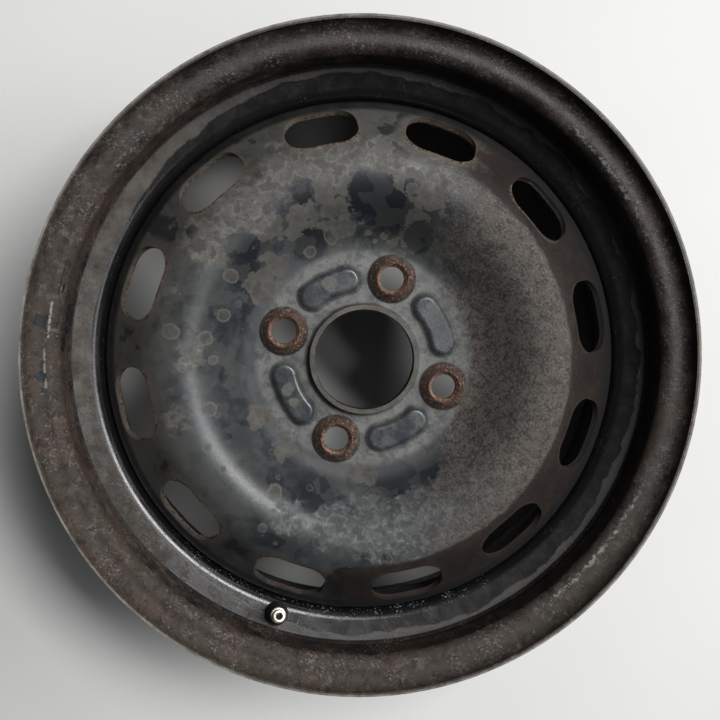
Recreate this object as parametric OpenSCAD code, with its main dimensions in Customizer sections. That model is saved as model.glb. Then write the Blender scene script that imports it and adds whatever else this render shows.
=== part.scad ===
// Pressed steel road wheel without its tyre.
// The wheel's axis is Z, the origin is the centre of the face that meets the hub, and +Z points outboard.

/* [Rim barrel] */
// Diameter of the bead seat where it meets the flange
bead_seat_d = 380.2; // [372:0.1:388]
// Width between the two flanges, on the tyre's side
rim_w = 152.4; // [146:0.1:160]
// Distance of the hub face outboard of the rim's middle
wheel_offset = 52.5; // [49:0.5:55]
// Sheet thickness of the barrel
barrel_t = 2.6; // [2:0.1:2.8]
// Height of the flange above the bead seat
flange_h = 17.3; // [16.8:0.1:19]
// Reach of the flange's hook beyond its flat wall
flange_w = 12.8; // [12.2:0.1:15]
// Bend of the flange's hook
hook_bend = 10.5; // [8:0.5:11]
// Bend between the flange and the bead seat
seat_bend = 6.5; // [4:0.1:7]
// Slope of the bead seat, in degrees
seat_slope = 5; // [4:0.5:6]
// Length of the bead seat up to the safety hump
seat_run = 18.5; // [17:0.1:20]
// Rise of the safety hump from the bead seat
hump_h = 1.2; // [0.8:0.1:1.6]
// Fall of the safety hump on its other side
hump_fall = 2.6; // [2:0.1:3]
// Length of the safety hump
hump_run = 7.4; // [7:0.1:9]
// Bends of the safety hump
hump_bend = 3; // [2:0.1:3.2]
// Depth of the drop well below the bead seat
well_h = 22.2; // [21.8:0.1:23]
// Axial run of the well's steep outboard wall
well_wall_run = 5.2; // [4.8:0.1:6]
// Bend between the steep wall and the well's floor
well_corner_bend = 9; // [6:0.5:9.5]
// Axial length of the well's floor
well_floor = 39; // [37:0.5:44]
// Axial run of the well's gentle inboard wall
well_ramp = 32; // [26:0.5:36]
// Bends of the gentle wall
ramp_bend = 12; // [8:0.5:16]

/* [Disc] */
// Sheet thickness of the disc
disc_t = 3.8; // [3.4:0.1:4.2]
// Radius where the hub face would meet the nose's inner slope
hub_corner_r = 76; // [75:0.5:78]
// Radius where the nose's two slopes would meet
nose_corner_r = 119; // [116:0.5:122]
// Height where the nose's two slopes would meet
nose_corner_z = 37.6; // [34:0.2:39]
// Bend at the foot of the nose
hub_bend = 22; // [18:0.5:23]
// Bend over the nose
nose_bend = 30; // [24:0.5:32]
// Bend between the outer slope and the skirt
shoulder_bend = 9; // [7:0.5:10]
// Length of the skirt that sits in the well
skirt_run = 26; // [22:0.5:28]
// Gap between the skirt and the well's floor
skirt_gap = 0.05; // [0.02:0.01:0.1]

/* [Vents] */
// Number of vents
vent_count = 12; // [8:1:12]
// Distance of the vents' middles inside the skirt
vent_inset = 18; // [17:0.2:19]
// Length of a vent down the slope
vent_l = 33.6; // [29:0.2:35]
// Width of a vent around the wheel
vent_w = 46; // [40:0.5:48]
// Corner radius of a vent
vent_corner = 13.5; // [9:0.5:14]

/* [Hub face] */
// Diameter of the centre bore
bore_d = 63.4; // [60:0.1:66]
// Wall of the raised collar round the bore
collar_t = 3.2; // [2.6:0.1:3.6]
// Height of the collar above the hub face
collar_h = 6.8; // [5:0.1:8]
// Blend at the foot of the collar, bosses and pads
hub_blend = 2.5; // [1.5:0.1:2.6]
// Diameter of the stud circle
stud_pcd = 108; // [106:0.5:108.5]
// Number of studs
stud_count = 4; // [3:1:4]
// Diameter of the stud holes
stud_hole_d = 15.6; // [14:0.1:16]
// Diameter of a stud boss at its foot
boss_foot_d = 30.4; // [29:0.2:31]
// Diameter of a stud boss at its top
boss_top_d = 20.4; // [20:0.2:22]
// Height of a stud boss above the hub face
boss_h = 5.7; // [5:0.1:6.5]
// Rounding of a stud boss's top edge
boss_round = 1; // [0.5:0.1:1.2]
// Land between a stud boss's edge and its nut seat
seat_land = 0.4; // [0.2:0.1:0.8]
// Full angle of the conical nut seat
nut_seat_angle = 60; // [56:1:70]
// Length of a stud hole below its nut seat
stud_hole_l = 3; // [2.5:0.1:3.5]
// Radius of the hollow behind a stud boss
stud_back_r = 11.6; // [11.2:0.1:12]
// Radius of the pads' centre line
pad_r = 51.5; // [50.5:0.1:52]
// Half of a pad's sweep between its end centres, in degrees
pad_half_sweep = 14; // [10:0.2:14.4]
// Width of a pad at its foot
pad_foot_w = 18.4; // [16:0.2:18.8]
// Width of a pad at its top
pad_top_w = 13; // [11:0.2:14]
// Height of a pad above the hub face
pad_h = 3.4; // [2.6:0.1:3.6]
// Rounding of a pad's top edge
pad_round = 3.4; // [1:0.1:3.6]
// Swell of a pad's round ends beyond its sides
pad_swell = 0.3; // [0.2:0.1:0.5]
// How much narrower than a pad the hollow behind it is, on each side
pad_draw = 1.3; // [1:0.1:1.6]

/* [Welds] */
// Number of weld beads
weld_count = 8; // [4:1:10]
// Sweep of one bead, in degrees
weld_sweep = 22; // [14:1:28]
// Leg of a bead along the well's floor
weld_leg = 4.6; // [3:0.1:5]
// Leg of a bead along the skirt's end
weld_foot = 3; // [2:0.1:3.2]

/* [Valve] */
// Direction of the valve round the wheel, in degrees
valve_turn = -89.6; // [-110:0.1:-70]
// Diameter of the valve's hole
valve_hole_d = 11.3; // [11:0.1:11.5]
// Length of the valve outside the rim's sheet
valve_reach = 32; // [28:0.5:34]
// Diameter of the rubber body at its foot
valve_foot_d = 15.2; // [14.4:0.1:15.4]
// Length of the rubber body's tapered foot
valve_foot_l = 11; // [9:0.5:12]
// Diameter of the rubber body at its top
valve_top_d = 10.6; // [10.4:0.1:12]
// Diameter of the head inside the tyre
valve_head_d = 14.2; // [13.6:0.1:14.4]
// Length of the head inside the tyre
valve_head_l = 6; // [5:0.1:7]
// Gap between the rubber body and the rim's sheet
valve_gap = 0.1; // [0.08:0.01:0.2]
// Diameter of the stem inside the rubber
stem_neck_d = 7; // [6.4:0.1:7.2]
// Diameter of the stem's shoulder above the rubber
stem_shoulder_d = 9.8; // [9.4:0.1:10]
// Length of the stem's shoulder
stem_shoulder_l = 2.4; // [2:0.1:3]
// Diameter of the stem's tip
tip_d = 7.7; // [7.4:0.1:8]
// Length of the stem's tip
tip_l = 9; // [7:0.5:10]
// Depth of the relief groove at the tip's foot
tip_relief = 0.4; // [0.2:0.1:0.6]
// Diameter of the open bore through the stem
stem_bore_d = 4.6; // [4:0.1:5]

/* [Hidden] */
$fn = 180;
// Largest turn between two points of a bend, and the same for bends up to small_bend
bend_step = 6;
small_bend = 4;
small_bend_step = 15;
// Overlap of a cutter beyond the face that it leaves
over = 1;
// Slant of a raised form's edge into the sheet below it
bite = 0.2;
// Rounding of small turned edges
fine_round = 0.5;
// Rounding of the rubber's edges, and the blend above its foot
rubber_round = 1;
rubber_blend = 6;
// Where a weld bead's face bulges, as a share of its legs
weld_bulge = 0.55;
// Lengths of the cutters for a vent and for the valve's hole
vent_cut_l = 8 * disc_t;
valve_cut_l = 4 * barrel_t;

// Barrel: the middle of its sheet
seat_r = bead_seat_d / 2;
barrel_mid = barrel_t / 2;
front_wall_z = rim_w / 2 - wheel_offset;
back_wall_z = -rim_w / 2 - wheel_offset;
lip_r = seat_r + flange_h - barrel_mid;
seat_mid_r = seat_r - barrel_mid;
seat_end_r = seat_mid_r - seat_run * tan(seat_slope);
hump_top_r = seat_end_r + hump_h;
hump_end_r = hump_top_r - hump_fall;
hump_end_x = seat_run + hump_run;
well_mid_r = seat_r - well_h - barrel_mid;
well_in_r = well_mid_r - barrel_mid;
well_top_z = front_wall_z - hump_end_x;
well_front_z = well_top_z - well_wall_run;
well_back_z = well_front_z - well_floor;
ledge_z = well_back_z - well_ramp;

// Disc: the middle of its sheet
disc_mid = disc_t / 2;
skirt_r = well_in_r - skirt_gap;
skirt_mid_r = skirt_r - disc_mid;
skirt_end_z = well_front_z - skirt_run;
outer_slope = atan2(nose_corner_z - well_front_z, skirt_mid_r - nose_corner_r);
vent_r = skirt_mid_r - vent_inset;
vent_z = nose_corner_z - (vent_r - nose_corner_r) * tan(outer_slope);
collar_r = bore_d / 2 + collar_t;

// Valve: its axis stands square on the middle of the well's steep wall
valve_lean = atan2(well_wall_run, hump_end_r - well_mid_r);
valve_r = (hump_end_r + well_mid_r) / 2;
valve_z = (well_top_z + well_front_z) / 2;
valve_face = barrel_mid + valve_gap;
valve_end = -valve_face - valve_head_l;
stem_top = barrel_mid + valve_reach;
tip_foot = stem_top - tip_l;
rubber_top = tip_foot - stem_shoulder_l;

// A path is a list of [x, y, bend radius]. Each corner turns through an arc of its bend radius.
function flat(p) = [p[0], p[1]];
function leg(path, i) =
    let (d = flat(path[i + 1]) - flat(path[i]))
    d / norm(d);
function square_to(v) = [-v[1], v[0]];
function turned(v, a) = [v[0] * cos(a) - v[1] * sin(a), v[0] * sin(a) + v[1] * cos(a)];
function corner(path, i, side) =
    let (
        u = leg(path, i - 1),
        w = leg(path, i),
        turn = atan2(u[0] * w[1] - u[1] * w[0], u * w),
        hand = sign(turn),
        bend = path[i][2],
        start = flat(path[i]) - u * bend * tan(abs(turn) / 2),
        centre = start + square_to(u) * hand * bend,
        step = bend > small_bend ? bend_step : small_bend_step,
        steps = max(1, ceil(abs(turn) / step))
    )
    [for (k = [0:steps]) centre - turned(square_to(u), turn * k / steps) * (hand * bend - side)];
function point(path, i, side) =
    i == 0 ? [flat(path[0]) + square_to(leg(path, 0)) * side]
    : i == len(path) - 1 ? [flat(path[i]) + square_to(leg(path, i - 1)) * side]
    : path[i][2] == 0 ? [flat(path[i])]
    : corner(path, i, side);
function along(path, side = 0) = [for (i = [0:len(path) - 1]) each point(path, i, side)];
function backwards(list) = [for (i = [len(list) - 1:-1:0]) list[i]];

// Outline of a sheet of thickness t whose middle follows the path
function sheet(path, t) = concat(along(path, t / 2), backwards(along(path, -t / 2)));

// One flange, its bead seat and hump, as [radius, distance from the flange wall towards the middle, bend]
flange_path = [
    [lip_r, -flange_w, 0],
    [lip_r, -barrel_mid, hook_bend],
    [seat_mid_r, -barrel_mid, seat_bend],
    [seat_end_r, seat_run, hump_bend],
    [hump_top_r, seat_run + hump_run / 2, hump_bend],
    [hump_end_r, hump_end_x, hump_bend]
];
barrel_path = concat(
    [for (p = flange_path) [p[0], front_wall_z - p[1], p[2]]],
    [
        [well_mid_r, well_front_z, well_corner_bend],
        [well_mid_r, well_back_z, ramp_bend],
        [hump_end_r, ledge_z, ramp_bend]
    ],
    [for (p = backwards(flange_path)) [p[0], back_wall_z + p[1], p[2]]]
);
disc_path = [
    [bore_d / 2 - over, disc_mid, 0],
    [hub_corner_r, disc_mid, hub_bend],
    [nose_corner_r, nose_corner_z, nose_bend],
    [skirt_mid_r, well_front_z, shoulder_bend],
    [skirt_mid_r, skirt_end_z, 0]
];

// Place things at equal steps round the wheel's axis
module around(count, first = 0) {
    for (i = [0:count - 1]) rotate([0, 0, first + i * 360 / count]) children();
}

// Place things on the valve's axis, from the middle of the rim's sheet
module on_valve_axis() {
    rotate([0, 0, valve_turn])
        translate([valve_r, 0, valve_z])
            rotate([0, -valve_lean, 0]) children();
}

module valve_hole(d) {
    on_valve_axis() cylinder(d = d, h = valve_cut_l, center = true);
}

module rim_barrel() {
    color("#3a3633") difference() {
        rotate_extrude() polygon(sheet(barrel_path, barrel_t));
        valve_hole(valve_hole_d);
    }
}

// Half of the section of a form raised on the hub face, from its middle outwards
function raised_half(foot, top, height, round) = along([
    [0, disc_mid, 0],
    [foot + hub_blend, disc_mid, 0],
    [foot + hub_blend, disc_t - bite, 0],
    [foot, disc_t, hub_blend],
    [top, disc_t + height, round],
    [0, disc_t + height, 0]
]);

module bore_collar() {
    top_z = disc_t + collar_h;
    rotate_extrude() polygon(along([
        [bore_d / 2 - over, disc_mid, 0],
        [collar_r + 2 * hub_blend, disc_mid, 0],
        [collar_r + 2 * hub_blend, disc_t - bite, 0],
        [collar_r, disc_t, hub_blend],
        [collar_r, top_z, fine_round],
        [bore_d / 2 - over, top_z, 0]
    ]));
}

module stud_boss() {
    rotate_extrude() polygon(raised_half(boss_foot_d / 2, boss_top_d / 2, boss_h, boss_round));
}

// The stud's hole, its conical seat and the hollow behind the boss
module stud_hole() {
    seat_top_r = boss_top_d / 2 - seat_land;
    top_z = disc_t + boss_h;
    seat_l = (seat_top_r - stud_hole_d / 2) / tan(nut_seat_angle / 2);
    hollow_z = top_z - seat_l - stud_hole_l;
    translate([0, 0, -over]) cylinder(d = stud_hole_d, h = top_z + 2 * over);
    translate([0, 0, top_z - seat_l])
        cylinder(r1 = stud_hole_d / 2, r2 = seat_top_r + over * tan(nut_seat_angle / 2), h = seat_l + over);
    translate([0, 0, -over])
        cylinder(r1 = stud_back_r + over, r2 = stud_back_r - hollow_z, h = hollow_z + over);
}

// The whole of a section whose half starts and ends on its middle line
function both_sides(half) = concat(
    half,
    [for (i = [len(half) - 2:-1:1]) [-half[i][0], half[i][1]]]
);

// A bean-shaped form on the pads' centre line, from half of its section and half of its ends' section
module bean(half, end_half) {
    rotate([0, 0, -pad_half_sweep])
        rotate_extrude(angle = 2 * pad_half_sweep)
            translate([pad_r, 0]) polygon(both_sides(half));
    for (turn = [-pad_half_sweep, pad_half_sweep])
        rotate([0, 0, turn])
            translate([pad_r, 0, 0]) rotate_extrude() polygon(end_half);
}

function pad_half(swell) = raised_half(pad_foot_w / 2 + swell, pad_top_w / 2 + swell, pad_h, pad_round);

// Half of the section of the hollow behind a pad, which keeps the sheet's thickness
function pad_back_half(swell) =
    let (
        foot = pad_foot_w / 2 - pad_draw + swell,
        top = pad_top_w / 2 - pad_draw + swell
    )
    [[0, -over], [foot + over * (foot - top) / pad_h, -over], [top, pad_h], [0, pad_h]];

module vent() {
    translate([vent_r, 0, vent_z])
        rotate([0, outer_slope, 0])
            linear_extrude(height = vent_cut_l, center = true) {
                square([vent_l - 2 * vent_corner, vent_w], center = true);
                square([vent_l, vent_w - 2 * vent_corner], center = true);
                for (x = [-1, 1], y = [-1, 1])
                    translate([x * (vent_l / 2 - vent_corner), y * (vent_w / 2 - vent_corner)])
                        circle(vent_corner);
            }
}

module wheel_disc() {
    color("#2b2d30") difference() {
        union() {
            rotate_extrude() polygon(sheet(disc_path, disc_t));
            bore_collar();
            around(stud_count) translate([stud_pcd / 2, 0, 0]) stud_boss();
            around(stud_count, 180 / stud_count) bean(pad_half(0), pad_half(pad_swell));
        }
        translate([0, 0, -over]) cylinder(d = bore_d, h = disc_t + collar_h + 2 * over);
        around(stud_count) translate([stud_pcd / 2, 0, 0]) stud_hole();
        around(stud_count, 180 / stud_count) bean(pad_back_half(0), pad_back_half(pad_swell));
        around(vent_count) vent();
    }
}

// Fillet beads between the skirt's end and the well's floor
module disc_welds() {
    color("#453c36") around(weld_count, 180 / weld_count)
        rotate([0, 0, -weld_sweep / 2])
            rotate_extrude(angle = weld_sweep) polygon(along([
                [well_in_r, skirt_end_z, 0],
                [well_in_r, skirt_end_z - weld_leg, 0],
                [well_in_r - weld_foot * weld_bulge, skirt_end_z - weld_leg * weld_bulge, weld_foot / 2],
                [well_in_r - weld_foot, skirt_end_z, 0]
            ]));
}

// The rubber takes the shape of the sheet that it grips, and its neck fills the hole
module valve_body() {
    color("#171717") difference() {
        on_valve_axis() rotate_extrude() polygon(along([
            [stem_neck_d / 2, valve_end, 0],
            [valve_head_d / 2 - rubber_round, valve_end, rubber_round],
            [valve_head_d / 2, valve_end + valve_head_l / 2, rubber_round],
            [valve_head_d / 2, 0, 0],
            [valve_foot_d / 2, 0, 0],
            [valve_foot_d / 2, valve_face + 2 * rubber_round, rubber_round],
            [valve_top_d / 2, valve_face + valve_foot_l, rubber_blend],
            [valve_top_d / 2, rubber_top, fine_round],
            [stem_neck_d / 2, rubber_top, 0]
        ]));
        difference() {
            rotate_extrude() polygon(sheet(barrel_path, barrel_t + 2 * valve_gap));
            valve_hole(valve_hole_d - 2 * valve_gap);
        }
    }
}

module valve_stem() {
    color("#b9b2a4") on_valve_axis() difference() {
        rotate_extrude() polygon(along([
            [0, valve_end, 0],
            [stem_neck_d / 2, valve_end, 0],
            [stem_neck_d / 2, rubber_top, 0],
            [stem_shoulder_d / 2, rubber_top, 0],
            [stem_shoulder_d / 2, tip_foot, fine_round],
            [tip_d / 2 - tip_relief, tip_foot, 0],
            [tip_d / 2 - tip_relief, tip_foot + 2 * tip_relief, 0],
            [tip_d / 2, tip_foot + 3 * tip_relief, 0],
            [tip_d / 2, stem_top, fine_round],
            [0, stem_top, 0]
        ]));
        translate([0, 0, valve_end - over]) cylinder(d = stem_bore_d, h = stem_top - valve_end + 2 * over);
    }
}

rim_barrel();
wheel_disc();
disc_welds();
valve_body();
valve_stem();
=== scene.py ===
import math
from functools import reduce

import bpy
from mathutils import Matrix, Vector


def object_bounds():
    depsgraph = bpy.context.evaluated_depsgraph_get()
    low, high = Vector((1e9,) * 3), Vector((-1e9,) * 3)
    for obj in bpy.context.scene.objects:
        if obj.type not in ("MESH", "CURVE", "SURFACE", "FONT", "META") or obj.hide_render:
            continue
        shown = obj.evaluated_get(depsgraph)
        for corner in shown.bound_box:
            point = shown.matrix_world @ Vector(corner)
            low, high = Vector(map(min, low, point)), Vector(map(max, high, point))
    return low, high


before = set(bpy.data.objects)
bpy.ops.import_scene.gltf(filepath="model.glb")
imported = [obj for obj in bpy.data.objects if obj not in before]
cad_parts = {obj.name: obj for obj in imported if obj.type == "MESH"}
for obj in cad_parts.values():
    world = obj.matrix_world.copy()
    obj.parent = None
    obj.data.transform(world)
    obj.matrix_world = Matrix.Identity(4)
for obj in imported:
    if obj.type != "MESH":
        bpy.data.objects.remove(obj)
cad_low, cad_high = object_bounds()

# Rim barrel. The rolled steel ring that carries the tyre: two hooked flanges, two bead seats and a drop well.
# It was painted black after welding. The paint has dulled under brown rust and road dust, and the flange's
# round corner is rubbed to bare steel in places. Its colour also holds painted light: paler on the lit left
# side, highlights on the flange's corner at upper and lower right, glints in the tar, and black painted shade
# in the groove, in the crevice at the well's edge and on the side away from the light.

# The wheel hangs turned by this much, and places below are given right and up as it hangs
HANG_TURN = math.radians(19.25)
MM_PER_METRE = 1000.0
WELD_WITHIN = 1e-5
SHARP_BEND = math.radians(24.0)


class Wire:
    """A socket of a finish. Arithmetic on values adds Math nodes, and node() adds any other node."""

    def __init__(self, tree, socket):
        self.tree = tree
        self.socket = socket

    def node(self, kind, settings, inputs, output=0):
        """The output of a new node whose inputs are given by name or number, as wires or as constants."""
        made = self.tree.nodes.new(kind)
        for name, value in settings.items():
            setattr(made, name, value)
        for name, value in inputs.items():
            if isinstance(value, Wire):
                self.tree.links.new(value.socket, made.inputs[name])
            else:
                made.inputs[name].default_value = value
        return Wire(self.tree, made.outputs[output])

    def output(self, name):
        return Wire(self.tree, self.socket.node.outputs[name])

    def math(self, operation, *values):
        return self.node("ShaderNodeMath", {"operation": operation}, dict(enumerate(values)))

    def __add__(self, other):
        return self.math("ADD", self, other)

    def __radd__(self, other):
        return self.math("ADD", other, self)

    def __sub__(self, other):
        return self.math("SUBTRACT", self, other)

    def __rsub__(self, other):
        return self.math("SUBTRACT", other, self)

    def __mul__(self, other):
        return self.math("MULTIPLY", self, other)

    def __rmul__(self, other):
        return self.math("MULTIPLY", other, self)

    def __truediv__(self, other):
        return self.math("DIVIDE", self, other)

    def __abs__(self):
        return self.math("ABSOLUTE", self)

    def at_least(self, other):
        return self.math("MAXIMUM", self, other)

    def at_most(self, other):
        return self.math("MINIMUM", self, other)

    def hypot(self, other):
        return self.math("SQRT", self * self + other * other)

    def smooth(self, low, high):
        """0 below low and 1 above high, or the other way round where low is the higher."""
        ends = {"Value": self, "From Min": low, "From Max": high}
        return self.node("ShaderNodeMapRange", {"interpolation_type": "SMOOTHSTEP"}, ends)

    def band(self, low, high, soft):
        """1 between low and high, and 0 outside them, with soft ends."""
        return self.smooth(low - soft, low + soft) * self.smooth(high + soft, high - soft)

    def over(self, below, above):
        """The colour above where this mask is 1, and the colour below where it is 0."""
        ends = {0: self, 6: below, 7: above}
        return self.node("ShaderNodeMix", {"data_type": "RGBA"}, ends, 2)


def tone(red, green, blue):
    return (red, green, blue, 1.0)


class Place:
    """A new finish, and where a point of its piece is, in millimetres.

    right and up are as the wheel hangs, out is outboard along the axis, radius is the distance from the axis
    and turn the angle round it. front is how squarely the surface faces outboard, from -1 to 1.
    """

    def __init__(self, name):
        self.finish = bpy.data.materials.new(name)
        self.finish.use_nodes = True
        tree = self.finish.node_tree
        metres = Wire(tree, tree.nodes.new("ShaderNodeTexCoord").outputs["Object"])
        self.point = metres.node(
            "ShaderNodeVectorMath", {"operation": "SCALE"}, {0: metres, "Scale": MM_PER_METRE})
        x = metres.node("ShaderNodeSeparateXYZ", {}, {0: self.point})
        y = x.output("Y")
        self.turn = x.math("ARCTAN2", y, x)
        self.right = x * math.cos(HANG_TURN) + y * math.sin(HANG_TURN)
        self.up = y * math.cos(HANG_TURN) - x * math.sin(HANG_TURN)
        self.out = x.output("Z")
        self.radius = x.hypot(y)
        normal = Wire(tree, tree.nodes.new("ShaderNodeNewGeometry").outputs["Normal"])
        self.front = normal.node("ShaderNodeSeparateXYZ", {}, {0: normal}).output("Z")

    def noise(self, size, detail=4.0, rough=0.55, shift=0.0):
        """Cloudy noise from 0 to 1 about 0.5, with clouds of that size. Another shift gives other clouds."""
        point = self.point
        if shift:
            point = point.node("ShaderNodeVectorMath", {"operation": "ADD"}, {0: point, 1: (shift,) * 3})
        return point.node(
            "ShaderNodeTexNoise", {},
            {"Vector": point, "Scale": 1.0 / size, "Detail": detail, "Roughness": rough})

    def cells(self, size, shift=0.0, finer=3.0, reach=0.30):
        """The distance to the nearest of many scattered points, and a number from 0 to 1 for each of them.

        Noise finer than the cells moves the points that are looked up, by a share of a cell's size.
        """
        point = self.point
        wobble = point.node(
            "ShaderNodeTexNoise", {}, {"Vector": point, "Scale": finer / size, "Detail": 3.0}, 1)
        moved = point.node(
            "ShaderNodeVectorMath", {"operation": "MULTIPLY_ADD"},
            {0: wobble, 1: (size * reach,) * 3, 2: point})
        moved = moved.node("ShaderNodeVectorMath", {"operation": "ADD"}, {0: moved, 1: (shift,) * 3})
        near = moved.node("ShaderNodeTexVoronoi", {}, {"Vector": moved, "Scale": 1.0 / size})
        chance = near.node("ShaderNodeSeparateColor", {}, {0: near.output("Color")})
        return near, chance

    def flecks(self, size, level, shift=0.0, soft=0.05):
        """Ragged marks of about that size where noise passes a level, fewer as the level rises."""
        return self.noise(size, 2.0, 0.6, shift).smooth(level, level + soft)

    def toward(self, degrees):
        """How far a point lies in a direction from the axis, from -1 to 1. Zero degrees is right, 90 is up."""
        angle = math.radians(degrees)
        return (self.right * math.cos(angle) + self.up * math.sin(angle)) / self.radius

    def arc(self, middle, half, soft):
        """1 within half a sweep of a direction, both in degrees, with soft ends."""
        return self.toward(middle).smooth(
            math.cos(math.radians(min(180.0, half + soft))), math.cos(math.radians(half - soft)))

    def spot(self, right, up, size, soft):
        """1 inside a round spot, with a soft edge."""
        return (self.right - right).hypot(self.up - up).smooth(size + soft, size - soft)

    def finish_with(self, inputs, height, depth):
        """Set the shader's sockets, with a relief of the given depth in millimetres."""
        tree = self.finish.node_tree
        shader = tree.nodes["Principled BSDF"]
        relief = height.node(
            "ShaderNodeBump", {}, {"Height": height, "Distance": depth / MM_PER_METRE})
        for name, value in {**inputs, "Normal": relief}.items():
            if isinstance(value, Wire):
                tree.links.new(value.socket, shader.inputs[name])
            else:
                shader.inputs[name].default_value = value
        return self.finish


def dress(node, finish):
    """Give a piece its finish, and shade its bends as round while its real edges stay crisp."""
    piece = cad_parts[node]
    piece.data.materials.clear()
    piece.data.materials.append(finish)
    weld = piece.modifiers.new("weld", "WELD")
    weld.merge_threshold = WELD_WITHIN
    split = piece.modifiers.new("split", "EDGE_SPLIT")
    split.split_angle = SHARP_BEND
    split.use_edge_sharp = False
    piece.modifiers.new("normals", "WEIGHTED_NORMAL")


# Heights and radii on the barrel. A pair is the two ends of a soft step or of a band
LIP_EDGE_Z = 36.3
LIP_EDGE_R = 206.2
FLANGE_Z = (17.0, 23.0)
INSIDE_Z = (24.5, 20.0)
CORNER_R = (190.5, 194.5)
SEAT_Z = (2.0, 20.0)
SEAT_EDGE_R = (185.5, 190.5)
GROOVE_Z = (-2.0, 3.2)
WALL_TOP_Z = (0.0, -1.5)
WALL_FOOT_Z = (-19.0, -15.0)
WELL_EDGE_R = 173.5
CREVICE_R = (174.5, 171.0)
CREVICE_Z = (-14.0, -3.9)
GLOSS_ROUGH = 0.20

BLACK_PAINT = tone(0.0048, 0.0048, 0.0052)
BROWN_RUST = tone(0.019, 0.0130, 0.0098)
PLUM_RUST = tone(0.033, 0.0205, 0.0165)
ROAD_DUST = tone(0.034, 0.0270, 0.0212)
PALE_DUST = tone(0.078, 0.067, 0.055)
LIT_WALL_DUST = tone(0.063, 0.053, 0.042)
PINK_RUST = tone(0.045, 0.0300, 0.0225)
BARE_STEEL = tone(0.340, 0.335, 0.320)
BLUE_CHIP = tone(0.013, 0.016, 0.020)
TAR = tone(0.004, 0.004, 0.005)
LIP_STEEL = tone(0.210, 0.195, 0.172)

# Directions of the pale dust as the wheel hangs, and of the painted light on the lit side, in degrees: 0 is
# right and 90 is up
LIT_LEFT = 172.0
LIT_LOW_LEFT = 245.0
LOW = 262.0
# Arcs: the direction of their middle, half their sweep, and their soft ends
PLUM_ARC = (172.0, 45.0, 20.0)
LIT_DUSTY_ARC = (172.0, 42.0, 20.0)
LIT_SIDE_ARC = (185.0, 55.0, 30.0)
LINED_ARC = (-100.0, 55.0, 20.0)
TARRED_ARC = (-100.0, 34.0, 14.0)
HIGH_RUB_GLINT_ARC = (37.0, 14.0, 9.0)
LOW_RUB_GLINT_ARC = (-38.0, 15.0, 9.0)
# Round marks: right, up, size and softness
HIGH_CHIP = (-196.6, 25.0, 3.4, 2.6)
LOW_CHIP = (-196.8, -8.5, 2.8, 2.4)
VALVE_TAR = (-42.0, -166.0, 11.0, 5.0)
LONE_TAR = (26.0, -166.0, 6.0, 2.5)
# Thin marks along circles: the direction of their middle, half their sweep, and their radius
STREAKS = ((164.5, 3.2, 190.6), (166.6, 1.0, 188.7), (172.0, 3.0, 186.2), (176.5, 1.6, 186.6))
RUBBED_LINES = ((172.3, 3.6, 193.0), (181.2, 3.8, 194.8))


def thin_marks(place, marks, width, soft_ends=0.8, soft_sides=0.7):
    """How near a point is to the middle of one of the listed thin marks."""
    return reduce(Wire.at_least, [
        place.arc(middle, half, soft_ends) * place.radius.band(out_r - width, out_r + width, soft_sides)
        for middle, half, out_r in marks])


ring = Place("barrel_steel")
grain = ring.noise(1.6, 5.0, 0.7)
mottle = ring.noise(11.0, 5.0, 0.66, 37.0)
drift = ring.noise(48.0, 3.0, 0.5, 91.0)
# Pale dust and painted light: paler on the left and lower left, where the light falls, with dark paint
# elsewhere
flange = ring.out.smooth(*FLANGE_Z)
inside = ring.out.smooth(*INSIDE_Z)
lit_side_dust = ring.toward(LIT_LEFT).smooth(-0.45, 0.85) * inside
lit_side_dust = lit_side_dust + ring.toward(LIT_LOW_LEFT).smooth(-0.95, 0.45) * flange
dust_and_light = lit_side_dust * 0.60 + flange * 0.32
dust_and_light = dust_and_light + ring.toward(LOW).smooth(0.3, 0.95) * flange * 0.35
dust_and_light = dust_and_light + (mottle - 0.5) * 2.8 + (drift - 0.5) * 1.4 + (grain - 0.5) * 1.2
dust_and_light = dust_and_light.smooth(0.15, 0.95)
barrel_colour = (mottle * 0.55 + grain * 0.45).smooth(0.40, 0.62).over(BLACK_PAINT, BROWN_RUST)
barrel_colour = dust_and_light.over(barrel_colour, ROAD_DUST)
pink = (ring.noise(19.0, 5.0, 0.66, 63.0) * 0.8 + grain * 0.2).smooth(0.50, 0.58) * (0.35 + dust_and_light * 0.65)
barrel_colour = (pink * 0.8).over(barrel_colour, PINK_RUST)
pale = (ring.noise(9.0, 5.0, 0.74, 11.0) * 0.75 + grain * 0.25).smooth(0.53, 0.59) * dust_and_light
barrel_colour = (pale * 0.75).over(barrel_colour, PALE_DUST)
stain = (ring.noise(6.0, 5.0, 0.72, 29.0) * 0.75 + grain * 0.25).smooth(0.51, 0.57)
barrel_colour = (stain * 0.9).over(barrel_colour, BROWN_RUST)
dot = ring.flecks(1.5, 0.58, 44.0) * ring.noise(20.0, 4.0, 0.6, 66.0).smooth(0.50, 0.60)
barrel_colour = (dot * 0.20).over(barrel_colour, BARE_STEEL)
# Plum-brown rust with black streaks at the foot of the flange, and pale dust with painted light on the well's
# wall, on its lit left side
plum = ring.radius.band(*SEAT_EDGE_R, 1.5) * ring.out.band(*SEAT_Z, 3.0) * ring.arc(*PLUM_ARC)
barrel_colour = (plum * (0.25 + mottle * 0.8)).over(barrel_colour, PLUM_RUST)
streak = thin_marks(ring, STREAKS, 0.3)
ragged = (streak + (ring.noise(3.0, 4.0, 0.6, 5.0) - 0.5) * 1.2).smooth(0.30, 0.55)
streak = ragged * streak.smooth(0.02, 0.2)
barrel_colour = streak.over(barrel_colour, BLACK_PAINT)
on_wall = ring.out.smooth(*WALL_TOP_Z) * ring.out.smooth(*WALL_FOOT_Z) * ring.front.smooth(0.0, 0.15)
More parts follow.
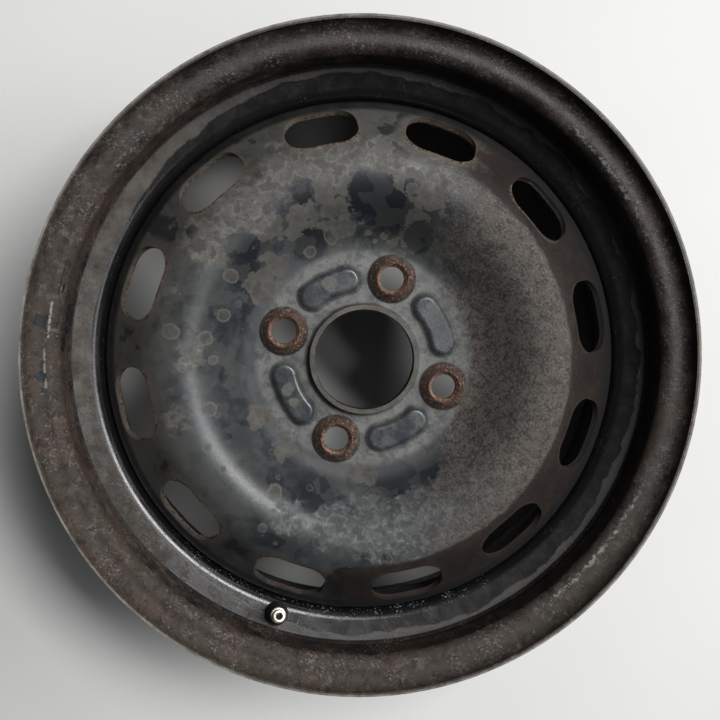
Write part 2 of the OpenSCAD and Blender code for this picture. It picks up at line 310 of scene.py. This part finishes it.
# Painted light: the wall is pale on its lit left side
lit_wall_dust = on_wall * ring.arc(*LIT_DUSTY_ARC) * ring.noise(16.0, 5.0, 0.6, 39.0).smooth(0.34, 0.60)
barrel_colour = (lit_wall_dust * 0.85).over(barrel_colour, LIT_WALL_DUST)
# Black paint kept its gloss round the well's edge, and up to a ragged pale line on the wall at the bottom.
# The black is also painted shade in the crevice at the well's edge and on the wall away from the lit left side
# Painted shade: the wall is black further up everywhere but on the lit left side
shaded_side = 1.0 - ring.arc(*LIT_SIDE_ARC)
black_reach = WELL_EDGE_R + shaded_side * 8.0 - ring.radius
black_reach = black_reach + (mottle - 0.5) * 5.0
black_reach = black_reach + (ring.noise(26.0, 3.0, 0.5, 19.0) - 0.5) * (4.0 + shaded_side * 10.0)
kept_black_and_shade = black_reach.smooth(-0.9, 0.9) * on_wall
barrel_colour = (kept_black_and_shade * 0.96).over(barrel_colour, BLACK_PAINT)
kept_line = black_reach.band(-2.2, -1.0, 0.7) * on_wall * ring.arc(*LINED_ARC)
barrel_colour = (kept_line * 0.25).over(barrel_colour, PALE_DUST)
# Painted shade: darker in the groove behind the hump
groove_shade = ring.out.band(*GROOVE_Z, 2.2)
barrel_colour = (groove_shade * (0.10 + mottle * 0.45)).over(barrel_colour, BLACK_PAINT)
# Bare steel where the round corner of the flange was rubbed, with painted highlights where the light glints on
# that corner at the upper and lower right
corner = ring.radius.band(*CORNER_R, 2.2) * ring.front.band(0.25, 0.98, 0.2)
# Painted highlights: the two arcs where the light glints on the corner
rubbed_and_glint_at = ring.arc(*HIGH_RUB_GLINT_ARC) + ring.arc(*LOW_RUB_GLINT_ARC)
rubbed_and_glint = (corner * rubbed_and_glint_at + (ring.noise(3.0, 6.0, 0.75, 21.0) - 0.5) * 2.8).smooth(0.50, 0.80)
rubbed_and_glint = rubbed_and_glint * corner * rubbed_and_glint_at.at_most(1.0) * flange
scraped = thin_marks(ring, RUBBED_LINES, 1.0)
scraped = (scraped * 0.9 + (ring.noise(2.2, 4.0, 0.7, 25.0) - 0.5) * 2.6).smooth(0.55, 1.0) * scraped
rubbed_and_glint = rubbed_and_glint.at_least(scraped * 0.6)
barrel_colour = (rubbed_and_glint * 0.85).over(barrel_colour, BARE_STEEL)
# Flecks of bright metal and chips down to the first blue coat
fleck = ring.flecks(1.7, 0.60, 8.0) * ring.noise(24.0, 4.0, 0.6, 77.0).smooth(0.52, 0.62)
barrel_colour = (fleck * 0.22 * (0.25 + flange * 0.75)).over(barrel_colour, BARE_STEEL)
chip = ring.spot(*HIGH_CHIP).at_least(ring.spot(*LOW_CHIP))
chip = (chip + (ring.noise(3.0, 5.0, 0.6, 15.0) - 0.5) * 2.4).smooth(0.4, 0.6) * chip.smooth(0.02, 0.3)
chip = chip * ring.front.smooth(0.4, 0.8)
barrel_colour = chip.over(barrel_colour, BLUE_CHIP)
# Tar along the well's edge at the bottom and round the valve, with painted glints in it
crevice = ring.radius.smooth(*CREVICE_R)
tar_at = ring.arc(*TARRED_ARC) * ring.out.band(*CREVICE_Z, 1.2) * crevice
tar_at = tar_at.at_least(ring.spot(*VALVE_TAR)).at_least(ring.spot(*LONE_TAR))
tarred = (tar_at + (mottle - 0.5) * 1.6 + (grain - 0.5) * 0.8).smooth(0.42, 0.62)
tarred = tarred * inside * tar_at.smooth(0.02, 0.2)
barrel_colour = tarred.over(barrel_colour, TAR)
# Painted glints: bright specks in the tar
glint = ring.flecks(1.2, 0.60, 3.0) * ring.noise(9.0, 3.0, 0.6, 7.0).smooth(0.44, 0.56) * tarred
barrel_colour = (glint * 0.5).over(barrel_colour, BARE_STEEL)
# The lip's outer edge is worn bright
lip_edge = ring.out.smooth(LIP_EDGE_Z - 0.2, LIP_EDGE_Z)
lip_edge = lip_edge * ring.radius.smooth(LIP_EDGE_R - 0.5, LIP_EDGE_R + 0.2)
barrel_colour = (lip_edge * (mottle * 2.4 - 0.6).at_least(0.1).at_most(1.0)).over(barrel_colour, LIP_STEEL)

barrel_rough = 0.48 + dust_and_light * 0.26 + (grain - 0.5) * 0.3 - rubbed_and_glint * 0.25
wall_rough = GLOSS_ROUGH + (mottle - 0.42).at_least(0.0) * 0.35
barrel_rough = barrel_rough - kept_black_and_shade * (barrel_rough - wall_rough)
smoother = 1.0 - on_wall * 0.85
barrel_relief = (grain * 0.6 + mottle * 0.5) * smoother + glint * 0.5 - chip * 0.6
barrel_rough = barrel_rough.at_least(0.2).at_most(0.95)
dress("rim_barrel", ring.finish_with(
    {"Base Color": barrel_colour, "Roughness": barrel_rough, "Metallic": rubbed_and_glint * 0.4}, barrel_relief, 0.6))

# Wheel disc. One steel pressing: a flat hub with a collared bore, four raised stud seats and four stiffening
# pads, a rounded nose, and twelve punched vents. It sits in the well and is welded there. Blue-black paint,
# bloomed with chalky spots on one side and dulled by fine brown rust on the other.

# The studs, with the pads halfway between them, and the vents are at equal steps round the axis
STUD_CIRCLE_R = 54.0
HALF_STUD_STEP = math.radians(45.0)
PAD_R = 51.5
PAD_END_TURN = math.radians(45.0 - 14.0)
HALF_VENT_STEP = math.radians(15.0)
VENT_R = 145.35
VENT_SLOPE = math.cos(math.radians(45.4))
VENT_CORNER = 13.5
VENT_STRAIGHT = (16.8 - VENT_CORNER, 23.0 - VENT_CORNER)
# Radii about a stud and about a pad's middle line
BORE_SEAT = (7.6, 9.4)
BOSS_EDGE = (15.6, 14.2)
BOSS_SHADE_R = (14.4, 15.8)
PAD_EDGE = (9.2, 7.6)
PAD_SHADE_R = (8.8, 10.4)
# Radii about the axis
COLLAR_OUTSIDE_R = 34.9
HUB_EDGE_R = 69.0
HUB_BEND_R = (68.0, 86.0)
SLOPE_R = (114.0, 128.0)
RED_GRAIN_R = (100.0, 128.0)
VENT_ROW_R = (126.0, 133.0)
DARK_ROW_R = (124.0, 133.0)
DISC_EDGE_R = 158.5
# Where finishes change as the wheel hangs: distances right and up, an arc, and directions in degrees
RUST_RIGHT_OF = (26.0, 68.0)
MILKY_BELOW = (-50.0, -90.0)
FILM_ARC = (135.0, 85.0, 35.0)
RED_WAY = -35.0
DARK_ROW_WAY = -18.0

DEEP_PAINT = tone(0.0080, 0.0095, 0.0125)
BLOOM = tone(0.034, 0.038, 0.040)
GREEN_FILM = tone(0.078, 0.080, 0.070)
CHALK = tone(0.087, 0.084, 0.076)
WHITE_CHALK = tone(0.165, 0.160, 0.147)
BEIGE = tone(0.064, 0.057, 0.049)
MILKY = tone(0.074, 0.083, 0.081)
PIT = tone(0.024, 0.022, 0.020)
FINE_RUST = tone(0.080, 0.072, 0.062)
DARK_RUST = tone(0.022, 0.0155, 0.0120)
RED_RUST = tone(0.0165, 0.0090, 0.0064)
BROWN_BLACK = tone(0.0068, 0.0050, 0.0042)
TAN_RUST = tone(0.115, 0.084, 0.058)
HUB_CHALK = tone(0.122, 0.124, 0.118)
PAD_PAINT = tone(0.023, 0.028, 0.033)
PAD_HAZE = tone(0.058, 0.062, 0.061)
BOSS_RUST = tone(0.062, 0.037, 0.028)
SEAT_COPPER = tone(0.430, 0.245, 0.165)

# Patches on the disc as the wheel hangs: right, up, size and strength
CHALKED = (
    (-93.0, 77.0, 17.0, 1.0), (-74.0, 95.0, 17.0, 1.0), (-47.0, 116.0, 18.0, 1.0), (-19.0, 124.0, 16.0, 1.0),
    (11.0, 123.0, 14.0, 0.9), (45.0, 114.0, 12.0, 0.6), (-22.0, -103.0, 12.0, 0.8), (-47.0, -97.0, 10.0, 0.7),
    (-108.0, 2.0, 8.0, 0.7), (-118.0, -36.0, 9.0, 0.5))
LOW_CHALK = (
    (5.0, -104.0, 17.0, 1.0), (26.0, -108.0, 21.0, 1.0), (51.0, -97.0, 17.0, 0.9), (69.0, -82.0, 15.0, 0.8))
CAKED = (
    (-62.0, 83.0, 11.0, 0.9), (-38.0, 85.0, 12.0, 1.0), (-64.0, 46.0, 11.0, 1.0), (-56.0, 59.0, 9.0, 0.9),
    (-13.0, 84.0, 9.0, 0.9), (-22.0, 101.0, 28.0, 0.72), (24.0, 97.0, 30.0, 0.70), (2.0, -66.0, 14.0, 1.0),
    (18.0, -57.0, 9.0, 0.9), (-50.0, -57.0, 8.0, 0.9), (-66.0, -37.0, 8.0, 0.9), (-125.0, 45.0, 12.0, 0.6),
    (20.0, 75.0, 14.0, 0.6))
PAD_SPOTS = (
    (-22.3, 48.3, 4.6, 1.0), (-48.9, -19.5, 4.0, 1.0), (-45.1, -27.1, 3.4, 1.0), (-50.2, 0.1, 1.9, 1.0))
KEPT_PAINT = (
    (-40.0, 103.0, 8.0, 1.0), (3.0, 103.0, 15.0, 1.0), (16.0, 92.0, 12.0, 1.0), (35.0, 77.0, 9.0, 1.0),
    (-33.0, 72.0, 11.0, 0.9), (-76.0, 70.0, 10.0, 0.8), (-66.0, 24.0, 13.0, 0.8), (36.0, -65.0, 13.0, 1.0),
    (17.0, -77.0, 10.0, 0.9), (-13.0, -139.0, 12.0, 0.9), (-30.0, -78.0, 14.0, 0.6))
# Round stains: right, up and size
RINGED = (
    (-82.5, 51.8, 5.0), (-96.4, -29.5, 5.0), (-94.4, 0.5, 3.2), (-112.4, -3.4, 3.5), (-68.0, -34.3, 5.0),
    (-56.5, -81.5, 5.5), (-88.3, -66.1, 2.8), (-97.9, -52.6, 3.2), (-64.1, -102.8, 3.5), (-87.3, 28.0, 4.6),
    (-98.9, 13.6, 5.5), (-119.0, 18.5, 6.0), (-34.3, 67.6, 4.5), (-20.8, 77.3, 6.0))


def patches(place, spots, softness=0.7):
    """How thick the listed patches lie at a point. Their softness is a share of their size."""
    return reduce(Wire.at_least, [
        place.spot(right, up, size, size * softness) * strength for right, up, size, strength in spots])


disc = Place("disc_steel")
grain = disc.noise(0.9, 5.0, 0.7)
coarse = disc.noise(1.7, 3.0, 0.75, 41.0)
mottle = disc.noise(10.0, 5.0, 0.62, 17.0)
drift = disc.noise(42.0, 3.0, 0.5, 51.0)
froth = disc.noise(8.0, 3.0, 0.52, 35.0)
cloud = (disc.noise(7.0, 5.0, 0.65, 83.0) * 0.8 + coarse * 0.2).smooth(0.38, 0.62)
facing = disc.front.smooth(-0.05, 0.15)

# Where things are: the distance from a stud, from a pad's line and from a vent's edge
quarter = disc.turn.math("PINGPONG", disc.turn, HALF_STUD_STEP)
across = disc.radius * quarter.math("SINE", quarter)
stud = (disc.radius * quarter.math("COSINE", quarter) - STUD_CIRCLE_R).hypot(across)
past_end = (PAD_END_TURN - quarter).at_least(0.0)
across = disc.radius * past_end.math("SINE", past_end)
pad = (disc.radius * past_end.math("COSINE", past_end) - PAD_R).hypot(across)
twelfth = disc.turn.math("PINGPONG", disc.turn, HALF_VENT_STEP)
down_slope = abs((disc.radius - VENT_R) / VENT_SLOPE) - VENT_STRAIGHT[0]
sideways = disc.radius * twelfth.math("SINE", twelfth) - VENT_STRAIGHT[1]
vent = down_slope.at_least(0.0).hypot(sideways.at_least(0.0))
vent = vent + down_slope.at_least(sideways).at_most(0.0) - VENT_CORNER

# Paint with a hazy bloom, thinner where the paint kept its depth, and a greenish film on the upper slope
kept = (patches(disc, KEPT_PAINT) + (mottle - 0.5) * 2.0 + (coarse - 0.5) * 0.4).smooth(0.43, 0.54)
bloom = ((mottle * 0.45 + drift * 0.55).smooth(0.40, 0.60) * 0.85 + 0.15) * (1.0 - kept * 0.9)
disc_colour = bloom.over(DEEP_PAINT, BLOOM)
film = disc.radius.smooth(*SLOPE_R) * disc.arc(*FILM_ARC) * facing
disc_colour = (film * (0.40 + cloud * 0.55)).over(disc_colour, cloud.over(GREEN_FILM, BEIGE))

# Single round stains with a pale rim and dark pits, some of them at scattered points
away = reduce(Wire.at_most, [
    (disc.right - right).hypot(disc.up - up) / size for right, up, size in RINGED])
away = away + (froth - 0.5) * 0.9 + (coarse - 0.5) * 0.4
rim_in = away.band(0.66, 0.88, 0.10)
stain_in = away.smooth(0.98, 0.84)
disc_colour = (stain_in * (0.20 + cloud * 0.35)).over(disc_colour, BEIGE)
disc_colour = (disc.flecks(1.6, 0.56, 9.0) * stain_in * 0.5).over(disc_colour, PIT)
disc_colour = (rim_in * 0.62).over(disc_colour, CHALK)
near, chance = disc.cells(10.0, 4.0)
lone = (chance.smooth(0.50, 1.0) * 0.26 + (coarse - 0.5) * 0.12 - near) * chance.smooth(0.48, 0.50)
disc_colour = (lone.smooth(-0.01, 0.04) * facing * 0.30).over(disc_colour, cloud.over(PIT, CHALK))
disc_colour = (lone.band(0.005, 0.045, 0.02) * facing * 0.55).over(disc_colour, CHALK)

# Beige cakes with scalloped edges, where round stains ran together
near, _ = disc.cells(7.0, 33.0)
caked = patches(disc, CAKED) * 1.05 + (mottle - 0.5) * 1.0 + (drift - 0.5) * 0.3
caked = caked - kept * 0.9 - near * 0.8 - 0.15
cake_rim = caked.band(0.02, 0.12, 0.07) * facing
caked = caked.smooth(-0.02, 0.06) * facing
disc_colour = (caked * (0.55 + cloud * 0.30)).over(disc_colour, (cloud * 0.6).over(BEIGE, CHALK))
disc_colour = (cake_rim * 0.32).over(disc_colour, CHALK)

# Chalk that dried in froth: soft worms of pale rim round darker pits
chalk_at = patches(disc, CHALKED).at_least(patches(disc, LOW_CHALK)) - kept * 0.8
chalked = (chalk_at + (mottle - 0.5) * 2.2 + (cloud - 0.5) * 0.3).smooth(0.15, 0.65)
chalked = chalked * chalk_at.smooth(0.0, 0.25) * facing
worm = froth.band(0.485, 0.525, 0.025) * chalked
pits = froth.smooth(0.54, 0.60) * (chalked + caked * 0.5).at_most(1.0)
film_colour = disc.up.smooth(*MILKY_BELOW).over(cloud.over(BEIGE, CHALK), cloud.over(BLOOM, MILKY))
disc_colour = (chalked * (0.55 + cloud * 0.35)).over(disc_colour, film_colour)
disc_colour = (worm * (0.15 + cloud * 0.35)).over(disc_colour, WHITE_CHALK)
disc_colour = (pits * 0.45).over(disc_colour, PIT)

# Fine brown rust over the right half, in dark and pale grains
rusty = disc.right + (drift - 0.5) * 60.0 + (mottle - 0.5) * 60.0 - disc.up * 0.10
rusty = rusty.smooth(*RUST_RIGHT_OF)
rusty = rusty * (1.0 - patches(disc, LOW_CHALK) * 0.55) * (1.0 - kept) * facing
blotch = disc.noise(6.0, 5.0, 0.68, 43.0)
rust_colour = (coarse * 0.55 + blotch * 0.45).smooth(0.40, 0.59).over(DARK_RUST, FINE_RUST)
red_grain = disc.radius.smooth(*RED_GRAIN_R) * blotch.smooth(0.45, 0.58)
rust_colour = (red_grain * 0.6).over(rust_colour, BOSS_RUST)
rust_colour = ((mottle * 0.5 + coarse * 0.5).smooth(0.50, 0.60) * 0.55).over(rust_colour, CHALK)
disc_colour = (rusty * 0.92).over(disc_colour, rust_colour)
disc_colour = (disc.flecks(2.0, 0.62, 19.0) * rusty * 0.4).over(disc_colour, WHITE_CHALK)

# Rust that crept from the vents' cut edges, dark and red at lower right, with blue paint kept between some
# vents, and painted shade, black, in the corner with the well
vent_row = disc.radius.smooth(*VENT_ROW_R)
strip = vent_row * vent.smooth(4.0, 9.0) * disc.noise(26.0, 5.0, 0.55, 57.0).smooth(0.54, 0.58)
disc_colour = (strip * facing * 0.75).over(disc_colour, DEEP_PAINT)
crept = (vent + (mottle - 0.5) * 30.0 + (coarse - 0.5) * 10.0).smooth(4.0, -1.0) * vent_row
redder = disc.toward(RED_WAY).smooth(-0.2, 0.7)
creep_colour = (coarse * 0.5 + mottle * 0.5).smooth(0.4, 0.6).over(BEIGE, TAN_RUST)
creep_colour = redder.over(creep_colour, DARK_RUST)
disc_colour = (crept * 0.8 * facing).over(disc_colour, creep_colour)
row_at = disc.radius.smooth(*DARK_ROW_R) * disc.toward(DARK_ROW_WAY).smooth(-0.10, 0.50)
dark_row = (row_at + (mottle - 0.5) * 0.9 + (coarse - 0.5) * 0.5).smooth(0.25, 0.65)
dark_row = dark_row * row_at.smooth(0.0, 0.2)
row_colour = (mottle * 0.5 + coarse * 0.5).smooth(0.45, 0.60).over(BROWN_BLACK, RED_RUST)
disc_colour = (dark_row * 0.97 * facing).over(disc_colour, row_colour)
# Painted shade: black where the disc's edge turns down into the crevice with the well
disc_edge_shade = disc.radius.smooth(DISC_EDGE_R - 2.0, DISC_EDGE_R + 1.5) * facing
disc_colour = (disc_edge_shade * (0.55 + mottle * 0.6).at_most(1.0)).over(disc_colour, BLACK_PAINT)
cut_face = vent.smooth(0.25, 0.05) * vent_row
cut_colour = coarse.smooth(0.4, 0.6).over(BROWN_RUST, redder.over(TAN_RUST, RED_RUST))
disc_colour = cut_face.over(disc_colour, cut_colour)

# The hub: pale chalk round darker pads, rust-brown stud bosses with rubbed seats, a brown collar, and painted
# shade round the feet of the pads and the bosses
hub = disc.radius.smooth(HUB_EDGE_R + 2.5, HUB_EDGE_R - 3.0) * facing
hub_colour = (mottle * 0.8 + coarse * 0.2).smooth(0.30, 0.60).over(BLOOM, HUB_CHALK)
hub_colour = (disc.noise(7.0, 5.0, 0.68, 73.0).smooth(0.53, 0.60) * 0.55).over(hub_colour, PIT)
hub_colour = (disc.flecks(3.0, 0.62, 53.0) * 0.5).over(hub_colour, WHITE_CHALK)
disc_colour = (hub * 0.9).over(disc_colour, hub_colour)
padded = pad.smooth(*PAD_EDGE) * hub
pad_colour = (mottle * 0.6 + coarse * 0.4).smooth(0.40, 0.62).over(PAD_PAINT, PAD_HAZE)
disc_colour = padded.over(disc_colour, pad_colour)
pad_spot = (patches(disc, PAD_SPOTS) + (mottle - 0.5) * 1.2 + (coarse - 0.5) * 0.8).smooth(0.30, 0.70) * hub
disc_colour = (pad_spot * 0.85).over(disc_colour, coarse.smooth(0.38, 0.60).over(BEIGE, CHALK))
# Painted shade: a dark band round the foot of each pad
pad_foot_shade = pad.band(*PAD_SHADE_R, 0.7) * hub
disc_colour = (pad_foot_shade * 0.35).over(disc_colour, DARK_RUST)
bossed = (stud + (coarse - 0.5) * 3.0 + (mottle - 0.5) * 2.0).smooth(*BOSS_EDGE) * hub
boss_colour = (coarse * 0.8 + mottle * 0.2).smooth(0.42, 0.57).over(DARK_RUST, BOSS_RUST)
boss_colour = (disc.flecks(1.6, 0.58, 27.0) * 0.35).over(boss_colour, SEAT_COPPER)
disc_colour = bossed.over(disc_colour, boss_colour)
# Painted shadow: a brown-black ring round the foot of each stud boss
disc_colour = (stud.band(*BOSS_SHADE_R, 0.6) * hub * 0.6).over(disc_colour, BROWN_BLACK)
seat = (stud + (coarse - 0.5) * 2.2).band(*BORE_SEAT, 0.5) * bossed
seat_colour = coarse.smooth(0.40, 0.55).over(BOSS_RUST, SEAT_COPPER)
disc_colour = (seat * 0.85).over(disc_colour, seat_colour)
collar = disc.radius.smooth(COLLAR_OUTSIDE_R + 1.4, COLLAR_OUTSIDE_R) * facing
collar_colour = (grain * 0.6 + mottle * 0.4).smooth(0.4, 0.6).over(DARK_RUST, FINE_RUST)
disc_colour = collar.over(disc_colour, collar_colour)
# The back kept plain dull paint with brown rust
back_colour = (mottle * 0.6 + grain * 0.4).smooth(0.45, 0.65).over(BLACK_PAINT, BROWN_RUST)
disc_colour = facing.over(back_colour, disc_colour)

powdery = caked.at_least(chalked).at_least(stain_in * 0.7)
gritty = rusty.at_least(dark_row).at_least(bossed)
disc_rough = 0.36 + bloom * 0.05 + powdery * 0.28 + gritty * 0.32 + crept * 0.2 + hub * 0.15 + pad_spot * 0.3
hub_bend = disc.radius.band(*HUB_BEND_R, 5.0) * facing
disc_rough = disc_rough + hub_bend * 0.20 + (grain - 0.5) * 0.2 - padded * 0.24 - seat * 0.15
disc_rough = disc_rough + (1.0 - facing) * 0.35
grit_at = disc.right.smooth(*RUST_RIGHT_OF).at_least(stud.smooth(*BOSS_EDGE))
disc_relief = coarse * (0.10 + grit_at * 0.7) + mottle * 0.25
disc_rough = disc_rough.at_least(0.2).at_most(0.92)
dress("wheel_disc", disc.finish_with(
    {"Base Color": disc_colour, "Roughness": disc_rough, "Metallic": seat * 0.5}, disc_relief, 0.5))

# Weld beads. Short fillets of weld metal between the disc's skirt and the well, painted over with the wheel
# and rusted where the paint cracked.

RIPPLES = 420.0

beads = Place("weld_steel")
grain = beads.noise(0.9, 4.0, 0.6)
mottle = beads.noise(5.0, 4.0, 0.6, 23.0)
bead_colour = (mottle * 0.6 + grain * 0.4).smooth(0.42, 0.6).over(BLACK_PAINT, BROWN_RUST)
ripple = beads.turn.math("SINE", beads.turn * RIPPLES)
dress("disc_welds", beads.finish_with(
    {"Base Color": bead_colour, "Roughness": 0.45 + mottle * 0.4}, ripple * 0.5 + grain * 0.4, 0.4))

# Valve body. A snap-in valve of black rubber, pulled through the hole in the well's wall, where its groove
# grips the sheet. Dull, and dusty in patches.

RUBBER = tone(0.014, 0.014, 0.014)
RUBBER_DUST = tone(0.060, 0.055, 0.050)

rubber = Place("valve_rubber")
grain = rubber.noise(0.8, 4.0, 0.6)
mottle = rubber.noise(4.0, 4.0, 0.6, 31.0)
rubber_colour = ((mottle * 0.6 + grain * 0.4).smooth(0.50, 0.70) * 0.7).over(RUBBER, RUBBER_DUST)
dress("valve_body", rubber.finish_with(
    {"Base Color": rubber_colour, "Roughness": 0.5 + mottle * 0.4}, grain, 0.15))

# Valve stem. A turned brass tube with dull nickel plate, bonded into the rubber when that was moulded. It has
# no core and no cap, so its bore is open, and the plate has brown stains.

NICKEL = tone(0.560, 0.530, 0.470)
STAIN = tone(0.200, 0.165, 0.120)

stem = Place("valve_metal")
grain = stem.noise(0.7, 4.0, 0.6)
mottle = stem.noise(3.0, 4.0, 0.6, 47.0)
stem_colour = (mottle * 0.6 + grain * 0.4).smooth(0.50, 0.68).over(NICKEL, STAIN)
dress("valve_stem", stem.finish_with(
    {"Base Color": stem_colour, "Roughness": 0.28 + mottle * 0.3, "Metallic": 0.85}, grain, 0.08))

# Floor, lights and camera. The wheel lies on its inboard lip on a plain pale floor. A soft light stands high
# at the upper right, with a weaker one beside it, a low one like a window and a wide weak fill. The camera
# looks down on the outboard face.

FLOOR_SIZE = 6.0
FLOOR_GREY = tone(0.56, 0.56, 0.55)
FLOOR_PALE = tone(0.63, 0.63, 0.62)

floor_mesh = bpy.data.meshes.new("floor")
half = FLOOR_SIZE / 2
floor_mesh.from_pydata(
    [(-half, -half, 0.0), (half, -half, 0.0), (half, half, 0.0), (-half, half, 0.0)], [], [(0, 1, 2, 3)])
floor = bpy.data.objects.new("floor", floor_mesh)
floor.location.z = cad_low.z
bpy.context.scene.collection.objects.link(floor)
plaster = Place("pale_floor")
floor_colour = plaster.noise(260.0, 4.0).over(FLOOR_GREY, FLOOR_PALE)
floor_mesh.materials.append(plaster.finish_with(
    {"Base Color": floor_colour, "Roughness": 0.9}, plaster.noise(2.0), 0.05))


def as_hung(right, up, out):
    """A point given right and up as the wheel hangs, in millimetres, in the part's frame."""
    turned = Matrix.Rotation(HANG_TURN, 3, "Z") @ Vector((right, up, out))
    return turned / MM_PER_METRE


def aim(thing, at, upward):
    """Turn a light or camera to look at a point."""
    back = (thing.location - at).normalized()
    side = upward.cross(back).normalized()
    thing.rotation_euler = Matrix((side, back.cross(side), back)).transposed().to_euler()


UP_AS_HUNG = as_hung(0.0, 1000.0, 0.0)
HUB_MIDDLE = as_hung(0.0, 0.0, 0.0)
# Lights: name, place as the wheel hangs, width and height in metres, power in watts, and if paint mirrors it
LIGHTS = (
    ("high_light", (1010.0, 850.0, 2690.0), 1.5, 0.7, 80.0, True),
    ("side_light", (1480.0, -130.0, 2610.0), 1.6, 0.5, 13.0, True),
    ("window_light", (2300.0, 700.0, 1250.0), 1.6, 0.8, 66.0, False),
    ("fill_light", (300.0, 1500.0, 3200.0), 3.0, 3.0, 6.0, True))
SKY = tone(0.85, 0.90, 0.95)
SKY_STRENGTH = 0.045
CAMERA_PLACE = as_hung(-40.7, 34.67, 622.1)
CAMERA_AIM = as_hung(-4.5, 1.2, 36.5)
SENSOR_WIDTH = 36.0
FOCAL_LENGTH = 48.55
NEAREST_SEEN = 0.02

for name, place, width, height, power, mirrored in LIGHTS:
    lamp = bpy.data.lights.new(name, "AREA")
    lamp.shape = "RECTANGLE"
    lamp.size, lamp.size_y = width, height
    lamp.energy = power
    light = bpy.data.objects.new(name, lamp)
    light.location = as_hung(*place)
    light.visible_glossy = mirrored
    bpy.context.scene.collection.objects.link(light)
    aim(light, HUB_MIDDLE, as_hung(place[0], place[1], 0.0))

world = bpy.data.worlds.new("studio")
bpy.context.scene.world = world
world.use_nodes = True
world.node_tree.nodes["Background"].inputs["Color"].default_value = SKY
world.node_tree.nodes["Background"].inputs["Strength"].default_value = SKY_STRENGTH
bpy.context.scene.view_settings.view_transform = "Standard"

lens = bpy.data.cameras.new("camera")
lens.sensor_width = SENSOR_WIDTH
lens.lens = FOCAL_LENGTH
lens.clip_start = NEAREST_SEEN
camera = bpy.data.objects.new("camera", lens)
camera.location = CAMERA_PLACE
bpy.context.scene.collection.objects.link(camera)
aim(camera, CAMERA_AIM, UP_AS_HUNG)
bpy.context.scene.camera = camera
